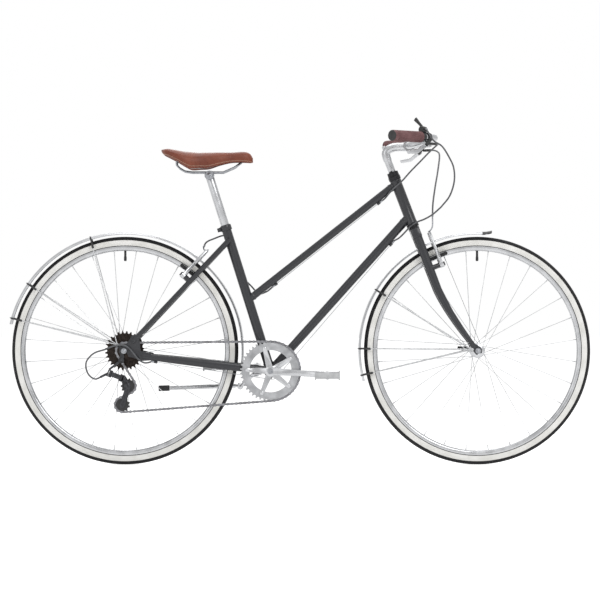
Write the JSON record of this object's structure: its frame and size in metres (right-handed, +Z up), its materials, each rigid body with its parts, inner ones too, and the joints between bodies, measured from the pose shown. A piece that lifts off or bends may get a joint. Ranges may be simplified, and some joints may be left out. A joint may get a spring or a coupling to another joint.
{
  "type": "commuter bicycle",
  "caption": "City bicycle with a sloping open frame, mudguards, rim brakes, rear derailleur, quill stem, swept handlebar, padded saddle and a folded side stand.",
  "frame": {"origin": "on the ground, under the middle of the bicycle's length and width, with both wheels standing upright", "axes": "+X forwards towards the front wheel, +Y to the rider's left, away from the chain, +Z up"},
  "size_m": [1.75, 0.6276, 1.0347],
  "materials": {
    "frame_paint": "glossy charcoal paint",
    "polished_alloy": "polished",
    "plated_steel": "zinc plated, satin",
    "dark_steel": "oiled and darkened",
    "black_plated_steel": "satin black",
    "black_plastic": "moulded, fine grain",
    "silver_plastic": "metallised, glossy",
    "tyre_rubber": "black tread with a pale side wall",
    "tube_rubber": "matt",
    "grip_rubber": "reddish brown, ribbed",
    "saddle_leather": "reddish brown, smooth grain",
    "cable_housing": "grey housing"
  },
  "bodies": {
    "frame": {"frame": "frame_paint", "headset_upper_cup": "dark_steel", "headset_lower_cup": "dark_steel", "bottom_bracket": "dark_steel", "rear_axle": "plated_steel", "mudguard_rear": "silver_plastic", "mudguard_stays_rear": "plated_steel", "kickstand_bracket": "frame_paint", "derailleur_bracket": "black_plated_steel", "chain": "dark_steel", "cable_brake_rear": "cable_housing", "cable_shift": "cable_housing"},
    "fork": {"fork": "frame_paint", "headset_locknut": "dark_steel", "front_axle": "plated_steel", "mudguard_front": "silver_plastic", "mudguard_stays_front": "plated_steel"},
    "stem": {"stem": "polished_alloy", "handlebar": "polished_alloy", "grip_right": "grip_rubber", "grip_left": "grip_rubber", "brake_mount_right": "black_plastic", "brake_mount_left": "black_plastic", "shifter_body": "black_plastic", "cable_brake_front": "cable_housing"},
    "brake_lever_right": {"brake_lever_right": "polished_alloy"},
    "brake_lever_left": {"brake_lever_left": "polished_alloy"},
    "shift_lever": {"shift_lever": "black_plastic"},
    "quick_release_lever": {"quick_release_lever": "black_plated_steel"},
    "wheel_front": {"tyre_front": "tyre_rubber", "inner_tube_front": "tube_rubber", "rim_front": "polished_alloy", "hub_front": "polished_alloy"},
    "wheel_rear": {"tyre_rear": "tyre_rubber", "inner_tube_rear": "tube_rubber", "rim_rear": "polished_alloy", "hub_rear": "polished_alloy"},
    "sprockets": {"sprocket_cluster": "dark_steel"},
    "crank": {"spindle": "plated_steel", "crank_right": "polished_alloy", "crank_left": "polished_alloy", "chainring": "plated_steel"},
    "pedal_right": {"pedal_right": "black_plastic"},
    "pedal_left": {"pedal_left": "black_plastic"},
    "derailleur_outer_link": {"derailleur_outer_link": "black_plated_steel"},
    "derailleur_inner_link": {"derailleur_inner_link": "black_plated_steel"},
    "derailleur_knuckle": {"derailleur_knuckle": "black_plated_steel"},
    "derailleur_cage": {"derailleur_cage": "black_plated_steel"},
    "guide_pulley": {"guide_pulley": "black_plastic"},
    "tension_pulley": {"tension_pulley": "black_plastic"},
    "brake_arm_rear_right": {"brake_arm_rear_right": "polished_alloy"},
    "brake_arm_rear_left": {"brake_arm_rear_left": "polished_alloy"},
    "brake_arm_front_right": {"brake_arm_front_right": "polished_alloy"},
    "brake_arm_front_left": {"brake_arm_front_left": "polished_alloy"},
    "seatpost": {"seatpost": "polished_alloy"},
    "saddle": {"saddle_cover": "saddle_leather", "saddle_base": "black_plastic", "saddle_rails": "black_plated_steel", "saddle_clamp": "plated_steel"},
    "kickstand_leg": {"kickstand_leg": "polished_alloy"}
  },
  "joints": [
    {"name": "steering", "type": "hinge", "parent": "frame", "child": "fork", "pos_m": [0.3438, 0, 0.70975], "axis": [-0.3584, 0, 0.9336], "range_deg": [-60, 60], "deforming": ["cable_brake_rear", "cable_shift"]},
    {"name": "stem_height", "type": "slide", "parent": "fork", "child": "stem", "axis": [-0.3584, 0, 0.9336], "range_m": [-0.03, 0.04], "deforming": ["cable_brake_front"]},
    {"name": "brake_lever_right_squeeze", "type": "hinge", "parent": "stem", "child": "brake_lever_right", "pos_m": [0.37051, -0.21939, 0.95086], "axis": [-0.6124, 0.6124, -0.5], "range_deg": [0, 16], "stiffness_Nm_per_rad": 1.2, "springref_deg": -22.92},
    {"name": "brake_lever_left_squeeze", "type": "hinge", "parent": "stem", "child": "brake_lever_left", "pos_m": [0.37051, 0.21939, 0.95086], "axis": [0.6124, 0.6124, 0.5], "range_deg": [0, 16], "stiffness_Nm_per_rad": 1.2, "springref_deg": -22.92},
    {"name": "gear_select", "type": "hinge", "parent": "stem", "child": "shift_lever", "pos_m": [0.36754, -0.20256, 0.99711], "axis": [0.7071, 0.7071, 0], "range_deg": [0, 110]},
    {"name": "quick_release_turn", "type": "hinge", "parent": "fork", "child": "quick_release_lever", "pos_m": [0.53385, 0.0655, 0.343], "axis": [-0.1392, 0, -0.9903], "range_deg": [0, 180]},
    {"name": "front_wheel_spin", "type": "hinge", "parent": "fork", "child": "wheel_front", "pos_m": [0.53385, 0, 0.343], "axis": [0, 1, 0], "continuous": true},
    {"name": "rear_wheel_spin", "type": "hinge", "parent": "frame", "child": "wheel_rear", "pos_m": [-0.52615, 0, 0.343], "axis": [0, 1, 0], "continuous": true},
    {"name": "crank_turn", "type": "hinge", "parent": "frame", "child": "crank", "pos_m": [-0.08815, 0, 0.282], "axis": [0, 1, 0], "continuous": true, "deforming": ["chain"]},
    {"name": "pedal_right_spin", "type": "hinge", "parent": "crank", "child": "pedal_right", "pos_m": [0.08153, -0.1265, 0.27162], "axis": [0, 1, 0], "continuous": true},
    {"name": "pedal_left_spin", "type": "hinge", "parent": "crank", "child": "pedal_left", "pos_m": [-0.25783, 0.1265, 0.29238], "axis": [0, 1, 0], "continuous": true},
    {"name": "sprocket_spin", "type": "hinge", "parent": "frame", "child": "sprockets", "pos_m": [-0.52615, -0.045, 0.343], "axis": [0, 1, 0], "continuous": true},
    {"name": "derailleur_outer_link_swing", "type": "hinge", "parent": "frame", "child": "derailleur_outer_link", "pos_m": [-0.56615, -0.089, 0.2755], "axis": [0.3584, 0, 0.9336], "range_deg": [0, 55]},
    {"name": "derailleur_inner_link_swing", "type": "hinge", "parent": "frame", "child": "derailleur_inner_link", "pos_m": [-0.56615, -0.076, 0.2755], "axis": [0.3584, 0, 0.9336], "range_deg": [0, 55]},
    {"name": "derailleur_knuckle_swing", "type": "hinge", "parent": "derailleur_outer_link", "child": "derailleur_knuckle", "pos_m": [-0.53267, -0.09214, 0.26265], "axis": [0.3584, 0, 0.9336], "range_deg": [-55, 0]},
    {"name": "derailleur_cage_swing", "type": "hinge", "parent": "derailleur_knuckle", "child": "derailleur_cage", "pos_m": [-0.52602, -0.0694, 0.25903], "axis": [0, 1, 0], "range_deg": [-30, 15], "stiffness_Nm_per_rad": 0.4, "deforming": ["chain"]},
    {"name": "guide_pulley_spin", "type": "hinge", "parent": "derailleur_cage", "child": "guide_pulley", "pos_m": [-0.51355, -0.061, 0.2378], "axis": [0, 1, 0], "continuous": true},
    {"name": "tension_pulley_spin", "type": "hinge", "parent": "derailleur_cage", "child": "tension_pulley", "pos_m": [-0.53165, -0.061, 0.182], "axis": [0, 1, 0], "continuous": true},
    {"name": "rear_brake_right_swing", "type": "hinge", "parent": "frame", "child": "brake_arm_rear_right", "pos_m": [-0.35056, -0.03887, 0.5691], "axis": [-0.7284, 0, 0.6851], "range_deg": [0, 3.2]},
    {"name": "rear_brake_left_swing", "type": "hinge", "parent": "frame", "child": "brake_arm_rear_left", "pos_m": [-0.35056, 0.03887, 0.5691], "axis": [0.7284, 0, -0.6851], "range_deg": [0, 3.2]},
    {"name": "front_brake_right_swing", "type": "hinge", "parent": "fork", "child": "brake_arm_front_right", "pos_m": [0.42568, -0.03833, 0.60247], "axis": [-0.9336, 0, -0.3584], "range_deg": [0, 3.2]},
    {"name": "front_brake_left_swing", "type": "hinge", "parent": "fork", "child": "brake_arm_front_left", "pos_m": [0.42568, 0.03833, 0.60247], "axis": [0.9336, 0, 0.3584], "range_deg": [0, 3.2]},
    {"name": "seatpost_height", "type": "slide", "parent": "frame", "child": "seatpost", "axis": [-0.299, 0, 0.9542], "range_m": [-0.1, 0.03]},
    {"name": "saddle_tilt", "type": "hinge", "parent": "seatpost", "child": "saddle", "pos_m": [-0.27251, 0, 0.87029], "axis": [0, 1, 0], "range_deg": [-8, 8]},
    {"name": "kickstand_swing", "type": "hinge", "parent": "frame", "child": "kickstand_leg", "pos_m": [-0.18055, 0.0465, 0.2364], "axis": [0.0125, -0.9335, -0.3583], "range_deg": [0, 88]}
  ],
  "couplings": [
    {"joint": "sprocket_spin", "follows": "crank_turn", "ratio": 3.6667},
    {"joint": "guide_pulley_spin", "follows": "crank_turn", "ratio": -4},
    {"joint": "tension_pulley_spin", "follows": "crank_turn", "ratio": 4},
    {"joint": "derailleur_outer_link_swing", "follows": "gear_select", "ratio": 0.5},
    {"joint": "derailleur_inner_link_swing", "follows": "gear_select", "ratio": 0.5},
    {"joint": "derailleur_knuckle_swing", "follows": "gear_select", "ratio": -0.5},
    {"joint": "rear_brake_right_swing", "follows": "brake_lever_right_squeeze", "ratio": 0.2},
    {"joint": "rear_brake_left_swing", "follows": "brake_lever_right_squeeze", "ratio": 0.2},
    {"joint": "front_brake_right_swing", "follows": "brake_lever_left_squeeze", "ratio": 0.2},
    {"joint": "front_brake_left_swing", "follows": "brake_lever_left_squeeze", "ratio": 0.2}
  ]
}
